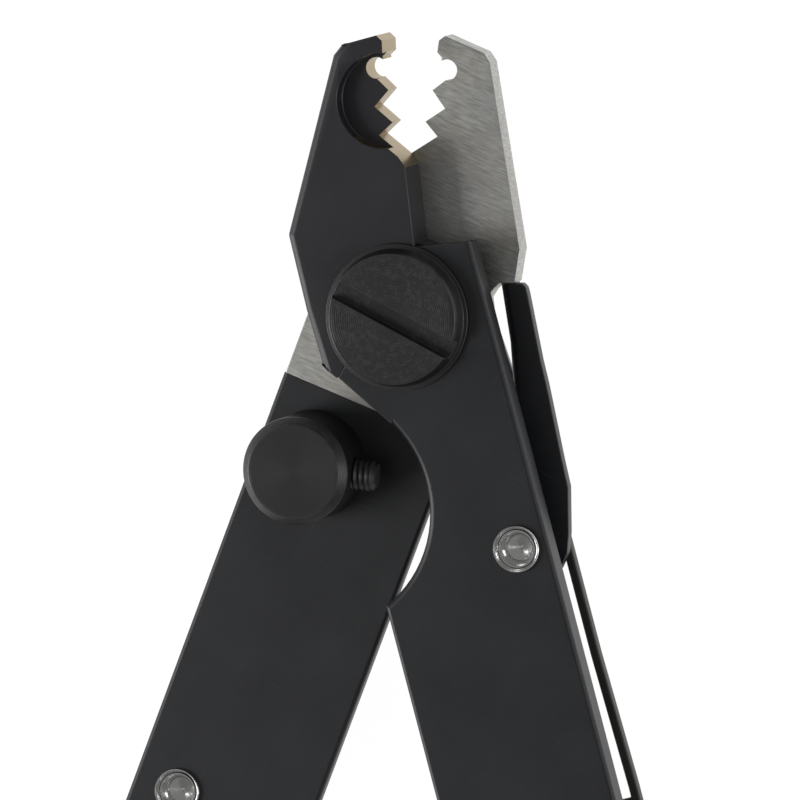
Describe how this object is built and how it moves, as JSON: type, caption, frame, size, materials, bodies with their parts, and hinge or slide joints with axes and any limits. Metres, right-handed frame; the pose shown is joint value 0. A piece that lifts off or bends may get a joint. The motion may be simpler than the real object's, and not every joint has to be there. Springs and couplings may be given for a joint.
{
  "type": "fibre stripper",
  "caption": "Hand tool for stripping fibre buffer and jacket: shearing notched jaws on a slotted pivot, sheet handles, an adjustable closing stop and a sprung opening stop.",
  "frame": {"origin": "on the jaws' pivot axis, at the back face of the pivot nut, which is the rest plane", "axes": "+Z from the back to the slotted screw head, +Y from the handles to the jaw tips along the middle line of the open tool, +X to the half that carries the stop lever"},
  "size_m": [0.0787, 0.1272, 0.014],
  "materials": {
    "jaw_oxide": "black oxide on a ground plate, satin",
    "handle_oxide": "black oxide on pressed sheet, satin",
    "turned_oxide": "black oxide on turned steel, fine tool rings",
    "screw_oxide": "black oxide on a cut thread",
    "spring_oxide": "black spring strip",
    "ground_steel": "surface ground, slanting grinding lines",
    "plain_steel": "plain steel, dull",
    "spring_steel": "spring wire, dull",
    "nickel": "bright nickel plate"
  },
  "bodies": {
    "front_half": {"front_jaw": "jaw_oxide", "right_handle": "handle_oxide", "pivot_screw": "turned_oxide", "pivot_nut": "plain_steel", "pivot_washer": "plain_steel", "return_spring": "spring_steel", "lever_rivet": "nickel", "lever_washers": "plain_steel", "lever_spring": "spring_oxide", "spring_spacer": "plain_steel", "spring_rivet": "nickel"},
    "rear_half": {"rear_jaw": "ground_steel", "left_handle": "handle_oxide", "stop_post": "turned_oxide", "post_washer": "plain_steel", "left_rivet": "nickel", "left_rivet_washer": "plain_steel"},
    "adjuster": {"set_screw": "screw_oxide"},
    "prop": {"stop_lever": "handle_oxide"}
  },
  "joints": [
    {"name": "handles_close", "type": "hinge", "parent": "front_half", "child": "rear_half", "pos_m": [0, 0, 0], "axis": [0, 0, 1], "range_deg": [0, 17.5], "stiffness_Nm_per_rad": 0.2, "springref_deg": -20.05, "deforming": ["return_spring"]},
    {"name": "lever_swing", "type": "hinge", "parent": "front_half", "child": "prop", "pos_m": [0.01461, -0.0241, 0.005], "axis": [0, 0, -1], "range_deg": [0, 8], "stiffness_Nm_per_rad": 0.01, "springref_deg": -11.46, "deforming": ["lever_spring"]},
    {"name": "stop_adjust", "type": "slide", "parent": "rear_half", "child": "adjuster", "axis": [0.9994, -0.0349, 0], "range_m": [-0.0025, 0]}
  ]
}
